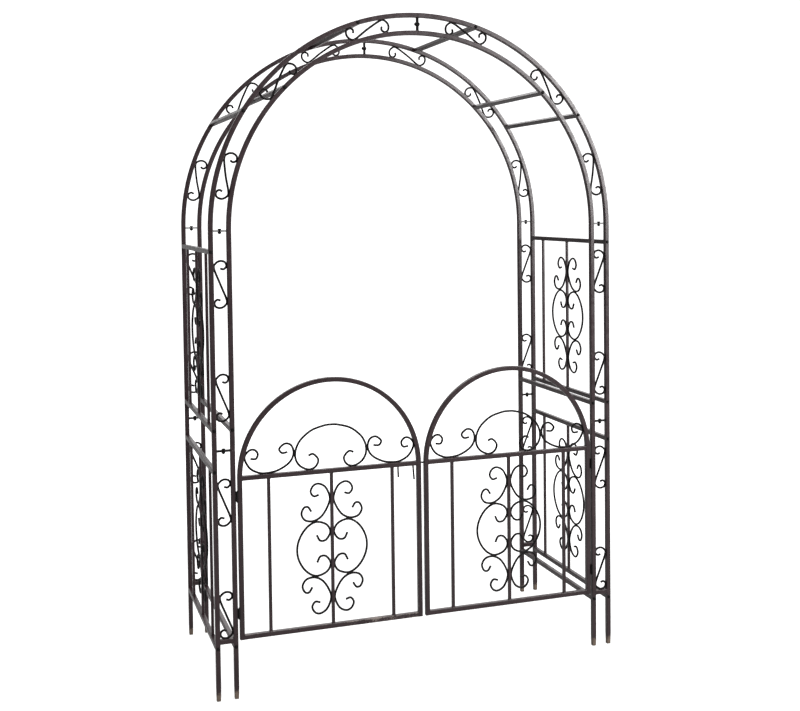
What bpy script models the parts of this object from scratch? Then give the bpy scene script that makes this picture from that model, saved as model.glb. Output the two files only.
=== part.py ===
"""Metal garden trellis arch with a pair of outward-opening gates.

Metres, +Z up. X runs across the arch, Y runs from the gate side to the back.
The origin is on the ground, midway between the legs and midway from front to back.
"""
import math

import bmesh
import bpy
from mathutils import Matrix, Vector

# Driving dimensions: stock
TUBE = 0.015
WALL = 0.0012
BAR = 0.009
GATE_BAR = 0.010
WIRE = 0.0050
WELD = 0.0006
FIT = 0.0003
FLUSH = 0.0002
MERGE = 0.00003

# Driving dimensions: arch
SPAN = 1.385
LADDER = 0.0575
DEPTH = 0.575
MID_JOINT = 0.793
SPRING = 1.483
RUNG_HEIGHT = 0.188
FOOT_TAPER = 0.040
FOOT_END = 0.0130
SEAM = 0.0006
ARC_STEPS = 18
END_TURN = 0.3
ARC_SCROLL_ANGLES = (15.0, 45.0, 75.0)
LOWER_SCROLLS = (0.271, 0.629)
UPPER_SCROLLS = (0.960, 1.316)

# Driving dimensions: side panels, spacers and cross bars
PANEL_RAILS = ((0.168, 0.728), (0.858, 1.418))
PANEL_BAR_OFFSET = 0.1945
SPACER_HEIGHTS = (0.168, 0.858)
CROSS_BARS = (("outer_low", 32.7), ("inner", 45.0), ("outer_top", 72.8))

# Driving dimensions: gates
HINGE_GAP = 0.006
CENTRE_GAP = 0.011
GATE_BOTTOM = 0.194
GATE_MID = 0.7015
GATE_SPRING = 0.697
GATE_BAR_OFFSET = 0.2075
GATE_MOTIF = 0.450
DRAIN = 0.004

# Driving dimensions: section joints and bolts
STRIP = 0.0022
STRIP_INSET = 0.0002
SPIGOT_LENGTH = 0.028
SPIGOT_ROOT = 0.010
SPIGOT_SLACK = 0.0008
SPIGOT_WALL = 0.0016
BOLT = 0.006
BOLT_HOLE = 0.0074
BOLT_HEAD = 0.0115
HEAD_HEIGHT = 0.004
NUT_HEIGHT = 0.005
THREAD_END = 0.002

# Driving dimensions: hinges and latch
HINGE_HEIGHTS = (0.273, 0.646)
HINGE_TALL = 0.032
LEAF_THICK = 0.0014
KNUCKLE = 0.0068
KNUCKLE_BORE = 0.0038
TAB_LAP = 0.003
LEAF_SHORT = 0.0015
ROUND_SIDES = 12
SMOOTH_BELOW = 40.0
PIN = 0.0030
PIN_HEAD = 0.0052
PIN_HEAD_TALL = 0.001
PIN_AXIS_Y = -0.0102
LATCH_ROD = 0.006
LATCH_TIP = 0.0035
LATCH_TAIL = -0.094
LATCH_TRAVEL = 0.008
PRONG = 0.005
PRONGS = ((-0.0855, 0.042, 0.004), (-0.0330, 0.052, 0.012))

# Worked out from the driving dimensions
HALF_TUBE = TUBE / 2
OUTER = SPAN / 2
INNER = OUTER - LADDER
LADDER_MID = (OUTER + INNER) / 2
FRONT = -DEPTH / 2
BACK = DEPTH / 2
TUBE_BORE = TUBE - 2 * WALL
HINGE_X = INNER - HALF_TUBE - HINGE_GAP / 2
STILE_X = INNER - HALF_TUBE - HINGE_GAP - HALF_TUBE
MEETING_X = CENTRE_GAP / 2 + HALF_TUBE
GATE_CENTRE = (STILE_X + MEETING_X) / 2
GATE_HALF = (STILE_X - MEETING_X) / 2
INNER_DEEP = TUBE - 2 * FLUSH

# Outlines of the scrolls: across and up, half of each where it is symmetrical.
# Ladder scroll: across is towards the inner tube, and the other half is turned half round.
LADDER_SCROLL = ((0.0005, 0.0500), (0.0110, 0.0475), (0.0196, 0.0570), (0.0150, 0.0695),
                 (0.0000, 0.0734), (-0.0140, 0.0660), (-0.0196, 0.0500))
# Panel scrolls: across is measured from the centre bar and up from the middle of the motif.
END_SCROLL = ((0.0434, 0.1754), (0.0600, 0.1722), (0.0702, 0.1881), (0.0610, 0.2065),
              (0.0430, 0.2118), (0.0203, 0.1985), (0.0064, 0.1640), (0.0150, 0.1335),
              (0.0350, 0.1050), (0.0620, 0.0918), (0.0890, 0.0965), (0.1015, 0.1165),
              (0.0940, 0.1365), (0.0800, 0.1390), (0.0690, 0.1235))
WAIST_SCROLL = ((0.0515, 0.0445), (0.0405, 0.0258), (0.0205, 0.0275), (0.0064, 0.0515),
                (0.0185, 0.0765), (0.0500, 0.0880), (0.0765, 0.0790), (0.0985, 0.0570),
                (0.1130, 0.0285))
WAIST_REACH = 0.1175
# Scrolls over the gate's middle rail: across from the gate's centre, up from the rail's centre.
SIDE_SCROLL = ((0.2645, 0.0585), (0.2470, 0.0580), (0.2410, 0.0740), (0.2540, 0.0875),
               (0.2720, 0.0830), (0.2838, 0.0620), (0.2680, 0.0300), (0.2400, 0.0130),
               (0.2130, 0.0091), (0.1750, 0.0160), (0.1380, 0.0380), (0.1245, 0.0660),
               (0.1320, 0.0920), (0.1520, 0.0990), (0.1710, 0.0840), (0.1630, 0.0700),
               (0.1446, 0.0710))
CROWN_SCROLL = ((0.0755, 0.0543), (0.0600, 0.0583), (0.0432, 0.0390), (0.0520, 0.0170),
                (0.0755, 0.0093), (0.1020, 0.0215), (0.1165, 0.0420), (0.1190, 0.0650),
                (0.1130, 0.0875), (0.0980, 0.1100), (0.0650, 0.1350), (0.0240, 0.1475))
CROWN_TOP = 0.1495

DARK_COAT = ("powder_coat", (0.052, 0.042, 0.043, 1.0), 0.45, 0.3)
LIT_COAT = ("panel_coat", (0.060, 0.050, 0.050, 1.0), 0.45, 0.3)
GATE_COAT = ("gate_coat", (0.046, 0.038, 0.039, 1.0), 0.45, 0.3)
ZINC = ("zinc_fastener", (0.10, 0.095, 0.09, 1.0), 0.40, 0.8)
STEEL = ("hinge_steel", (0.050, 0.045, 0.045, 1.0), 0.40, 0.6)

X_AXIS = Vector((1.0, 0.0, 0.0))
Y_AXIS = Vector((0.0, 1.0, 0.0))


def clear_scene():
    for thing in list(bpy.data.objects):
        bpy.data.objects.remove(thing, do_unlink=True)


def material(finish):
    name, colour, roughness, metallic = finish
    found = bpy.data.materials.get(name)
    if found:
        return found
    made = bpy.data.materials.new(name)
    made.use_nodes = True
    shader = made.node_tree.nodes["Principled BSDF"]
    shader.inputs["Base Color"].default_value = colour
    shader.inputs["Roughness"].default_value = roughness
    shader.inputs["Metallic"].default_value = metallic
    made.diffuse_color = colour
    return made


def add_box(bm, low, high):
    centre = (Vector(low) + Vector(high)) / 2
    size = Vector(high) - Vector(low)
    bmesh.ops.create_cube(bm, size=1.0, matrix=Matrix.LocRotScale(centre, None, size))


def add_rod(bm, start, end, diameter, sides=8):
    start = Vector(start)
    end = Vector(end)
    along = end - start
    turn = along.to_track_quat("Z", "Y").to_matrix().to_4x4()
    place = Matrix.Translation((start + end) / 2) @ turn @ Matrix.Rotation(math.pi / sides, 4, "Z")
    bmesh.ops.create_cone(bm, cap_ends=True, segments=sides, radius1=diameter / 2,
                          radius2=diameter / 2, depth=along.length, matrix=place)


def square_rings(bm, path, across, deep, normal):
    """One ring of four corners at each point of a path that lies in a plane."""
    normal = Vector(normal)
    path = [Vector(point) for point in path]
    last = len(path) - 1
    rings = []
    for index, point in enumerate(path):
        before = path[max(index - 1, 0)]
        after = path[min(index + 1, last)]
        side = normal.cross(after - before).normalized()
        corners = ((1, 1), (-1, 1), (-1, -1), (1, -1))
        rings.append([bm.verts.new(point + side * across / 2 * a + normal * deep / 2 * b)
                      for a, b in corners])
    return rings


def bridge(bm, first, second):
    for corner in range(4):
        after = (corner + 1) % 4
        bm.faces.new((first[corner], first[after], second[after], second[corner]))


def sweep(bm, path, across, deep, normal):
    """A solid square section along a path, with closed ends."""
    rings = square_rings(bm, path, across, deep, normal)
    for first, second in zip(rings, rings[1:]):
        bridge(bm, first, second)
    bm.faces.new(rings[0])
    bm.faces.new(rings[-1])


def sweep_tube(bm, path, across, bore, normal):
    """A hollow square tube along a path, open at both ends."""
    skin = square_rings(bm, path, across, across, normal)
    core = square_rings(bm, path, bore, bore, normal)
    for rings in (skin, core):
        for first, second in zip(rings, rings[1:]):
            bridge(bm, first, second)
    bridge(bm, skin[0], core[0])
    bridge(bm, skin[-1], core[-1])


def square_turning(bm, x, y, profile, closed):
    """A square lathe: the profile's (width, height) pairs become square rings about a post."""
    rings = []
    for width, height in profile:
        half = width / 2
        corners = ((1, 1), (-1, 1), (-1, -1), (1, -1))
        rings.append([bm.verts.new((x + a * half, y + b * half, height)) for a, b in corners])
    for first, second in zip(rings, rings[1:]):
        bridge(bm, first, second)
    if closed:
        bm.faces.new(rings[0])
        bm.faces.new(rings[-1])
    else:
        bridge(bm, rings[-1], rings[0])


def mesh_from(bm, name):
    bmesh.ops.recalc_face_normals(bm, faces=bm.faces)
    mesh = bpy.data.meshes.new(name)
    bm.to_mesh(mesh)
    bm.free()
    return mesh


def helper(bm, name):
    thing = bpy.data.objects.new(name, mesh_from(bm, name))
    thing.hide_render = True
    thing.display_type = "WIRE"
    bpy.context.collection.objects.link(thing)
    return thing


def weld(name, base, additions, cuts=()):
    """Joins every addition to the base, takes the cuts away, and returns one closed mesh."""
    body = helper(base, name + "_base")
    helpers = [body]
    for kind, shapes in (("UNION", additions), ("DIFFERENCE", cuts)):
        for number, shape in enumerate(shapes):
            other = helper(shape, f"{name}_{kind.lower()}_{number}")
            helpers.append(other)
            step = body.modifiers.new(other.name, "BOOLEAN")
            step.operation = kind
            step.solver = "EXACT"
            step.object = other
    graph = bpy.context.evaluated_depsgraph_get()
    mesh = bpy.data.meshes.new_from_object(body.evaluated_get(graph))
    mesh.name = name
    clean = bmesh.new()
    clean.from_mesh(mesh)
    bmesh.ops.remove_doubles(clean, verts=clean.verts, dist=MERGE)
    clean.to_mesh(mesh)
    clean.free()
    for thing in helpers:
        bpy.data.objects.remove(thing, do_unlink=True)
    return mesh


def place(name, mesh, finish, location=(0.0, 0.0, 0.0), turned=0.0, parent=None):
    thing = bpy.data.objects.new(name, mesh)
    mesh.materials.clear()
    mesh.materials.append(material(finish))
    mesh.shade_smooth()
    mesh.set_sharp_from_angle(angle=math.radians(SMOOTH_BELOW))
    bpy.context.collection.objects.link(thing)
    thing.parent = parent
    thing.location = location
    thing.rotation_euler.z = turned
    return thing


def pivot(name, location):
    empty = bpy.data.objects.new(name, None)
    empty.location = location
    bpy.context.collection.objects.link(empty)
    return empty


def turned_pair(outline, middle=None):
    """An outline and its half-turn copy, joined through the origin."""
    start = list(outline)
    end = [(-across, -up) for across, up in reversed(start)]
    return start + [middle or (0.0, 0.0)] + end


def mirrored_pair(outline, middle, flip_across):
    """An outline and its mirror image, joined at a point on the mirror line."""
    start = list(outline)
    end = [(-a, u) if flip_across else (a, -u) for a, u in reversed(start)]
    return start + [middle] + end


def add_ladder_scroll(bm, side, height):
    points = [(side * (LADDER_MID - across), 0.0, height + up)
              for across, up in turned_pair(LADDER_SCROLL)]
    sweep(bm, points, WIRE, WIRE, Y_AXIS)


def on_arc(radius, degrees, side):
    angle = math.radians(degrees)
    return Vector((side * radius * math.cos(angle), 0.0, SPRING + radius * math.sin(angle)))


def add_arc_scroll(bm, side, degrees):
    points = []
    for across, up in turned_pair(LADDER_SCROLL):
        points.append(on_arc(LADDER_MID - across, degrees + math.degrees(up / LADDER_MID), side))
    sweep(bm, points, WIRE, WIRE, Y_AXIS)


def add_spigot(bm, x, height, bore):
    """A sleeve that fills a tube's end and stands out of it to enter the next section."""
    thin = TUBE_BORE - SPIGOT_SLACK
    root = TUBE_BORE + WELD
    profile = ((root, height + SPIGOT_ROOT), (root, height + SEAM),
               (thin, height + SEAM), (thin, height - SPIGOT_LENGTH),
               (bore, height - SPIGOT_LENGTH), (bore, height + SPIGOT_ROOT))
    square_turning(bm, x, 0.0, profile, closed=False)


def add_strip(bm, side, low):
    reach = LADDER / 2 - HALF_TUBE + WELD
    add_box(bm, (side * LADDER_MID - reach, -HALF_TUBE + FLUSH, low),
            (side * LADDER_MID + reach, HALF_TUBE - FLUSH, low + STRIP))


def add_face_head(bm, x, z):
    """A bolt head on the outer face of a tube, sunk a little so that it joins."""
    add_rod(bm, (x, -HALF_TUBE - HEAD_HEIGHT, z), (x, -HALF_TUBE + WELD, z), BOLT_HEAD)


def lower_ladder_mesh(side):
    top = MID_JOINT - SEAM / 2
    base = bmesh.new()
    for x in (side * OUTER, side * INNER):
        floor = 2 * WALL
        profile = ((FOOT_END, 0.0), (TUBE, FOOT_TAPER), (TUBE, top), (TUBE_BORE, top),
                   (TUBE_BORE, FOOT_TAPER + WALL), (FOOT_END - 2 * WALL, floor))
        square_turning(base, x, 0.0, profile, closed=True)
    extras = bmesh.new()
    add_strip(extras, side, top - STRIP_INSET - STRIP)
    reach = LADDER / 2 - HALF_TUBE + WELD
    add_box(extras, (side * LADDER_MID - reach, -INNER_DEEP / 2, RUNG_HEIGHT - HALF_TUBE),
            (side * LADDER_MID + reach, INNER_DEEP / 2, RUNG_HEIGHT + HALF_TUBE))
    for height in LOWER_SCROLLS:
        add_ladder_scroll(extras, side, height)
    for height in PANEL_RAILS[0]:
        add_face_head(extras, side * OUTER, height)
    add_face_head(extras, side * INNER, SPACER_HEIGHTS[0])
    hole = bmesh.new()
    add_rod(hole, (side * LADDER_MID, 0.0, top - TUBE), (side * LADDER_MID, 0.0, top), BOLT_HOLE)
    return weld("lower_ladder", base, [extras], [hole])


def upper_ladder_mesh(side):
    bottom = MID_JOINT + SEAM / 2
    top = SPRING - SEAM / 2
    base = bmesh.new()
    for x in (side * OUTER, side * INNER):
        sweep_tube(base, ((x, 0.0, bottom), (x, 0.0, top)), TUBE, TUBE_BORE, Y_AXIS)
    extras = bmesh.new()
    add_strip(extras, side, bottom + STRIP_INSET)
    add_strip(extras, side, top - STRIP_INSET - STRIP)
    for height in UPPER_SCROLLS:
        add_ladder_scroll(extras, side, height)
    for x in (side * OUTER, side * INNER):
        add_spigot(extras, x, MID_JOINT, TUBE_BORE - 2 * SPIGOT_WALL)
    for height in PANEL_RAILS[1]:
        add_face_head(extras, side * OUTER, height)
    add_face_head(extras, side * INNER, SPACER_HEIGHTS[1])
    hole = bmesh.new()
    for height in (bottom + STRIP, top - STRIP):
        add_rod(hole, (side * LADDER_MID, 0.0, height - TUBE),
                (side * LADDER_MID, 0.0, height + TUBE), BOLT_HOLE)
    return weld("upper_ladder", base, [extras], [hole])


def quarter_arch_mesh(side):
    start = math.degrees(SEAM / 2 / OUTER)
    base = bmesh.new()
    for radius in (OUTER, INNER):
        step = (90.0 - 2 * start) / ARC_STEPS
        turns = [start + step * n for n in range(ARC_STEPS + 1)]
        turns.insert(1, turns[0] + END_TURN)
        turns.insert(-1, turns[-1] - END_TURN)
        path = [on_arc(radius, degrees, side) for degrees in turns]
        sweep_tube(base, path, TUBE, TUBE_BORE, Y_AXIS)
    extras = bmesh.new()
    reach = LADDER / 2 - HALF_TUBE + WELD
    add_strip(extras, side, SPRING + SEAM / 2 + STRIP_INSET)
    near = SEAM / 2 + STRIP_INSET
    ends = sorted((side * near, side * (near + STRIP)))
    add_box(extras, (ends[0], -HALF_TUBE + FLUSH, SPRING + LADDER_MID - reach),
            (ends[1], HALF_TUBE - FLUSH, SPRING + LADDER_MID + reach))
    for degrees in ARC_SCROLL_ANGLES:
        add_arc_scroll(extras, side, degrees)
    for x in (side * OUTER, side * INNER):
        add_spigot(extras, x, SPRING, TUBE_BORE - 2 * SPIGOT_WALL)
    for label, degrees in CROSS_BARS:
        point = on_arc(INNER if label == "inner" else OUTER, degrees, side)
        add_face_head(extras, point.x, point.z)
    hole = bmesh.new()
    add_rod(hole, (side * LADDER_MID, 0.0, SPRING), (side * LADDER_MID, 0.0, SPRING + TUBE),
            BOLT_HOLE)
    add_rod(hole, (side * -TUBE, 0.0, SPRING + LADDER_MID),
            (side * TUBE, 0.0, SPRING + LADDER_MID), BOLT_HOLE)
    return weld("quarter_arch", base, [extras], [hole])


def add_motif(end_scrolls, waist_scrolls, centre, middle, normal, along):
    """The six scrolls that stand back to back on a centre bar."""
    centre = Vector(centre)
    for hand in (1, -1):
        points = [centre + along * hand * a + Vector((0, 0, middle + u))
                  for a, u in mirrored_pair(WAIST_SCROLL, (WAIST_REACH, 0.0), False)]
        sweep(waist_scrolls, points, WIRE, WIRE, normal)
        for up in (1, -1):
            points = [centre + along * hand * a + Vector((0, 0, middle + up * u))
                      for a, u in END_SCROLL]
            sweep(end_scrolls, points, WIRE, WIRE, normal)


def panel_mesh():
    """A side panel, centred on the origin in the plane X = 0."""
    reach = DEPTH / 2 - HALF_TUBE - FIT
    half = (PANEL_RAILS[0][1] - PANEL_RAILS[0][0]) / 2
    base = bmesh.new()
    for height in (-half, half):
        sweep_tube(base, ((0, -reach, height), (0, reach, height)), TUBE, TUBE_BORE, X_AXIS)
    end = half - HALF_TUBE + WELD
    bars = bmesh.new()
    for offset in (-PANEL_BAR_OFFSET, 0.0, PANEL_BAR_OFFSET):
        sweep(bars, ((0, offset, -end), (0, offset, end)), BAR, BAR, X_AXIS)
    end_scrolls = bmesh.new()
    waist_scrolls = bmesh.new()
    add_motif(end_scrolls, waist_scrolls, (0, 0, 0), 0.0, X_AXIS, Y_AXIS)
    return weld("side_panel", base, [bars, end_scrolls, waist_scrolls])


def tube_bar_mesh(name):
    """A straight tube between the two arches, along Y."""
    reach = DEPTH / 2 - HALF_TUBE - FIT
    bm = bmesh.new()
    sweep_tube(bm, ((0, -reach, 0), (0, reach, 0)), TUBE, TUBE_BORE, X_AXIS)
    return mesh_from(bm, name)


def gate_mesh(side):
    """A gate leaf about its hinge axis: the origin is on the pin, at ground level."""
    across = side * (GATE_CENTRE - HINGE_X)
    back = -PIN_AXIS_Y
    outer_x = across + side * GATE_HALF
    meeting_x = across - side * GATE_HALF
    foot = GATE_BOTTOM - HALF_TUBE
    frame = [Vector((outer_x, back, foot))]
    for n in range(ARC_STEPS * 2 + 1):
        angle = math.pi * n / (ARC_STEPS * 2)
        frame.append(Vector((across + side * GATE_HALF * math.cos(angle), back,
                             GATE_SPRING + GATE_HALF * math.sin(angle))))
    frame.append(Vector((meeting_x, back, foot)))
    base = bmesh.new()
    sweep_tube(base, frame, TUBE, TUBE_BORE, Y_AXIS)

    rails = bmesh.new()
    reach = GATE_HALF - HALF_TUBE + WELD
    for height in (GATE_BOTTOM, GATE_MID):
        add_box(rails, (across - reach, back - INNER_DEEP / 2, height - HALF_TUBE + FLUSH),
                (across + reach, back + INNER_DEEP / 2, height + HALF_TUBE - FLUSH))
    bars = bmesh.new()
    low = GATE_BOTTOM + HALF_TUBE - WELD
    high = GATE_MID - HALF_TUBE + WELD
    for offset in (-GATE_BAR_OFFSET, 0.0, GATE_BAR_OFFSET):
        x = across + offset
        sweep(bars, ((x, back, low), (x, back, high)), GATE_BAR, GATE_BAR, Y_AXIS)
    end_scrolls = bmesh.new()
    waist_scrolls = bmesh.new()
    add_motif(end_scrolls, waist_scrolls, (across, back, 0), GATE_MOTIF, Y_AXIS, X_AXIS)
    for hand in (1, -1):
        points = [(across + hand * a, back, GATE_MID + u) for a, u in SIDE_SCROLL]
        sweep(end_scrolls, points, WIRE, WIRE, Y_AXIS)
    crown = mirrored_pair(CROWN_SCROLL, (0.0, CROWN_TOP), True)
    sweep(waist_scrolls, [(across + a, back, GATE_MID + u) for a, u in crown], WIRE, WIRE, Y_AXIS)

    cores = bmesh.new()
    core = TUBE_BORE / 2
    core_end = GATE_HALF - HALF_TUBE - WALL
    for height in (GATE_BOTTOM, GATE_MID):
        add_box(cores, (across - core_end, back - core, height - core),
                (across + core_end, back + core, height + core))
    cuts = [cores]
    drains = bmesh.new()
    drain_x = across + side * (GATE_BAR_OFFSET - TUBE)
    for height in (GATE_BOTTOM, GATE_MID):
        add_rod(drains, (drain_x, back, height - TUBE), (drain_x, back, height), DRAIN)
    if side < 0:
        for x in (prong[0] for prong in PRONGS):
            middle = x + LATCH_TRAVEL / 2 + HINGE_X
            half = (LATCH_TRAVEL + LATCH_ROD + SEAM) / 2
            add_box(drains, (middle - half, back - core + WELD, GATE_MID - TUBE),
                    (middle + half, back + core - WELD, GATE_MID))
    cuts.append(drains)
    bore = bmesh.new()
    edge = HINGE_X - CENTRE_GAP / 2
    inside = TUBE * 2 if side < 0 else HALF_TUBE
    add_rod(bore, (-side * (edge - inside), back, GATE_MID),
            (-side * (edge + WALL), back, GATE_MID), BOLT_HOLE)
    cuts.append(bore)
    return weld("gate_leaf", base, [rails, bars, end_scrolls, waist_scrolls], cuts)


def add_knuckle(bm, low, high):
    """A barrel with a bore, about the origin's vertical axis."""
    rings = []
    for diameter, height in ((KNUCKLE, low), (KNUCKLE, high), (KNUCKLE_BORE, high),
                             (KNUCKLE_BORE, low)):
        ring = []
        for n in range(ROUND_SIDES):
            angle = 2 * math.pi * n / ROUND_SIDES
            ring.append(bm.verts.new((diameter / 2 * math.cos(angle),
                                      diameter / 2 * math.sin(angle), height)))
        rings.append(ring)
    for first, second in zip(rings, rings[1:] + rings[:1]):
        for n in range(ROUND_SIDES):
            after = (n + 1) % ROUND_SIDES
            bm.faces.new((first[n], first[after], second[after], second[n]))


def hinge_leaf_mesh(name, hand, on_gate):
    """Half of a butt hinge about its pin. hand is the way from the pin to this leaf's tube."""
    half = HINGE_TALL / 2
    third = HINGE_TALL / 6
    spans = [(-third + FIT, third - FIT)]
    if not on_gate:
        spans = [(-half, -third), (third, half)]
    face = HINGE_GAP / 2 - FIT
    near = KNUCKLE_BORE / 2 + FLUSH
    clear = KNUCKLE / 2 + FIT
    far = HALF_TUBE - PIN_AXIS_Y - LEAF_SHORT
    plate = bmesh.new()
    ends = sorted((hand * face, hand * (face - LEAF_THICK)))
    add_box(plate, (ends[0], clear, -half), (ends[1], far, half))
    tabs = bmesh.new()
    barrels = bmesh.new()
    for low, high in spans:
        add_box(tabs, (ends[0] + FLUSH, near, low + FLUSH),
                (ends[1] - FLUSH, clear + TAB_LAP, high - FLUSH))
        add_knuckle(barrels, low, high)
    return weld(name, plate, [tabs, barrels])


def hinge_pin_mesh():
    half = HINGE_TALL / 2 + FIT
    shank = bmesh.new()
    add_rod(shank, (0, 0, -half - FIT), (0, 0, half + FIT), PIN, sides=ROUND_SIDES)
    heads = bmesh.new()
    for low, high in ((-half - PIN_HEAD_TALL, -half), (half, half + PIN_HEAD_TALL)):
        add_rod(heads, (0, 0, low), (0, 0, high), PIN_HEAD, sides=ROUND_SIDES)
    return weld("hinge_pin", shank, [heads])


def joint_bolt_mesh():
    """A bolt and its nut across two strips; the origin is midway between the strips."""
    stack = SEAM / 2 + STRIP_INSET + STRIP + FIT
    shank = bmesh.new()
    add_rod(shank, (0, 0, -stack - NUT_HEIGHT - THREAD_END), (0, 0, stack + WELD), BOLT)
    ends = bmesh.new()
    add_rod(ends, (0, 0, stack), (0, 0, stack + HEAD_HEIGHT), BOLT_HEAD, sides=6)
    add_rod(ends, (0, 0, -stack - NUT_HEIGHT), (0, 0, -stack), BOLT_HEAD, sides=6)
    return weld("joint_bolt", shank, [ends])


def latch_mesh():
    """The sliding bolt and its two finger prongs, about the middle of the gap between gates."""
    rod = bmesh.new()
    add_rod(rod, (LATCH_TAIL, 0, 0), (LATCH_TIP, 0, 0), LATCH_ROD)
    prongs = bmesh.new()
    for x, drop, lean in PRONGS:
        add_rod(prongs, (x, 0, 0), (x, -lean, -drop), PRONG)
    return weld("latch_bolt", rod, [prongs])


def build_arch_sections():
    makers = (("lower_ladder", lower_ladder_mesh), ("upper_ladder", upper_ladder_mesh),
              ("quarter_arch", quarter_arch_mesh))
    for kind, make in makers:
        for side, label in ((-1, "left"), (1, "right")):
            mesh = make(side)
            opposite = "right" if label == "left" else "left"
            place(f"front_{label}_{kind}", mesh, DARK_COAT, (0, FRONT, 0))
            place(f"back_{opposite}_{kind}", mesh, DARK_COAT, (0, BACK, 0), math.pi)


def build_links():
    panel = panel_mesh()
    bar = tube_bar_mesh("link_bar")
    for side, label in ((-1, "left"), (1, "right")):
        for (low, high), level in zip(PANEL_RAILS, ("lower", "upper")):
            place(f"{label}_{level}_side_panel", panel, LIT_COAT, (side * OUTER, 0, (low + high) / 2))
        for height, level in zip(SPACER_HEIGHTS, ("lower", "upper")):
            place(f"{label}_{level}_spacer_bar", bar, LIT_COAT, (side * INNER, 0, height))
        for kind, degrees in CROSS_BARS:
            point = on_arc(INNER if kind == "inner" else OUTER, degrees, side)
            cross = place(f"{label}_{kind}_cross_bar", bar, LIT_COAT, point)
            cross.rotation_euler.y = -side * math.radians(degrees)


def build_joint_bolts():
    mesh = joint_bolt_mesh()
    for y, end in ((FRONT, "front"), (BACK, "back")):
        for side, label in ((-1, "left"), (1, "right")):
            for height, level in ((MID_JOINT, "mid"), (SPRING, "spring")):
                place(f"{end}_{label}_{level}_joint_bolt", mesh, ZINC, (side * LADDER_MID, y, height))
        apex = place(f"{end}_apex_joint_bolt", mesh, ZINC, (0, y, SPRING + LADDER_MID))
        apex.rotation_euler.y = math.pi / 2


def build_gates():
    pin = hinge_pin_mesh()
    for side, label in ((-1, "left"), (1, "right")):
        axis = pivot(f"{label}_hinge_axis", (side * HINGE_X, FRONT + PIN_AXIS_Y, 0))
        place(f"{label}_gate", gate_mesh(side), GATE_COAT, parent=axis)
        on_post = hinge_leaf_mesh("post_leaf", side, False)
        on_gate = hinge_leaf_mesh("gate_leaf", -side, True)
        for height, level in zip(HINGE_HEIGHTS, ("lower", "upper")):
            spot = (0, 0, height)
            place(f"{label}_{level}_hinge_gate_leaf", on_gate, STEEL, spot, parent=axis)
            fixed = (side * HINGE_X, FRONT + PIN_AXIS_Y, height)
            place(f"{label}_{level}_hinge_post_leaf", on_post, STEEL, fixed)
            place(f"{label}_{level}_hinge_pin", pin, STEEL, fixed)
        if side < 0:
            seat = (HINGE_X, -PIN_AXIS_Y, GATE_MID)
            place("latch_bolt", latch_mesh(), STEEL, seat, parent=axis)


clear_scene()
build_arch_sections()
build_links()
build_joint_bolts()
build_gates()
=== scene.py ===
"""Looks of the metal trellis arch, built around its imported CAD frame. Metres, +Z up."""

import math

import bmesh
import bpy
from mathutils import Matrix, Vector, noise


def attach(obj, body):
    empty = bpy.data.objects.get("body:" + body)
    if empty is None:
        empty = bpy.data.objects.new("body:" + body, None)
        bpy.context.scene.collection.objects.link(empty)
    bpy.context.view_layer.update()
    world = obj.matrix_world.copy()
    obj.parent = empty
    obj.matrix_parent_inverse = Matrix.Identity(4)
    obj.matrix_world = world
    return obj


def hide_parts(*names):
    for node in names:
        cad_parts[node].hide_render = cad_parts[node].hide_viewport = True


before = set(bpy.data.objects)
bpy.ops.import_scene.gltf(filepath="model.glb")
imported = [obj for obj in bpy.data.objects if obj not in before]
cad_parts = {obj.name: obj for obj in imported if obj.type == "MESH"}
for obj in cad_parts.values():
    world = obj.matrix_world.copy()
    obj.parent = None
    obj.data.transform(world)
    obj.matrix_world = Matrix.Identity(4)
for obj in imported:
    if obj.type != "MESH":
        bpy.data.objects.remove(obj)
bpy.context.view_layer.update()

# Stock sizes
TUBE = 0.015
BAR = 0.009
GATE_BAR = 0.010
WIRE = 0.0072
WALL = 0.0012
TUBE_ROUND = 0.0015
BAR_ROUND = 0.0009
SLEEVE_ROUND = 0.0008
CHAMFER = 0.0005
WIRE_CHAMFER = 0.0004
SEAM = 0.0006
FIT = 0.0003

# Welds: how far a bar runs into its neighbour, and the radius of the beads
WELD = 0.0006
BEAD = 0.0011
SMALL_BEAD = 0.0009
RUNG_BEAD_HALF = TUBE / 2 - 0.0004
RAIL_BEAD_HALF = TUBE / 2 - 0.0006

# Arch
OUTER = 0.6925
LADDER = 0.0575
INNER = OUTER - LADDER
LADDER_MID = (OUTER + INNER) / 2
BACK = 0.2875
FRONT = -BACK
MID_JOINT = 0.793
SPRING = 1.483
RUNG_HEIGHT = 0.188
FOOT_TAPER = 0.040
FOOT_END = 0.0130
FOOT_EDGE = 0.94
FOOT_EDGE_TALL = 0.002
SLEEVE = 0.010
ARC_RINGS = 46
ARC_SCROLL_ANGLES = (15.0, 45.0, 75.0)
LOWER_SCROLLS = (0.271, 0.629)
UPPER_SCROLLS = (0.960, 1.316)

# Side panels, spacers and cross bars
PANEL_RAILS = ((0.168, 0.728), (0.858, 1.418))
PANEL_BAR_OFFSET = 0.1945
SPACER_HEIGHTS = (0.168, 0.858)
CROSS_BARS = (("outer_low", 32.7), ("inner", 45.0), ("outer_top", 72.8))
LINK_REACH = BACK - TUBE / 2 - FIT

# Gates
GATE_CENTRE = 0.3135
GATE_HALF = 0.3005
GATE_BOTTOM = 0.194
GATE_MID = 0.7015
GATE_SPRING = 0.697
GATE_BAR_OFFSET = 0.2075
GATE_MOTIF = 0.450
GATE_STILE_RING = 0.45
GATE_HEAD_STEPS = 72

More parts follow.
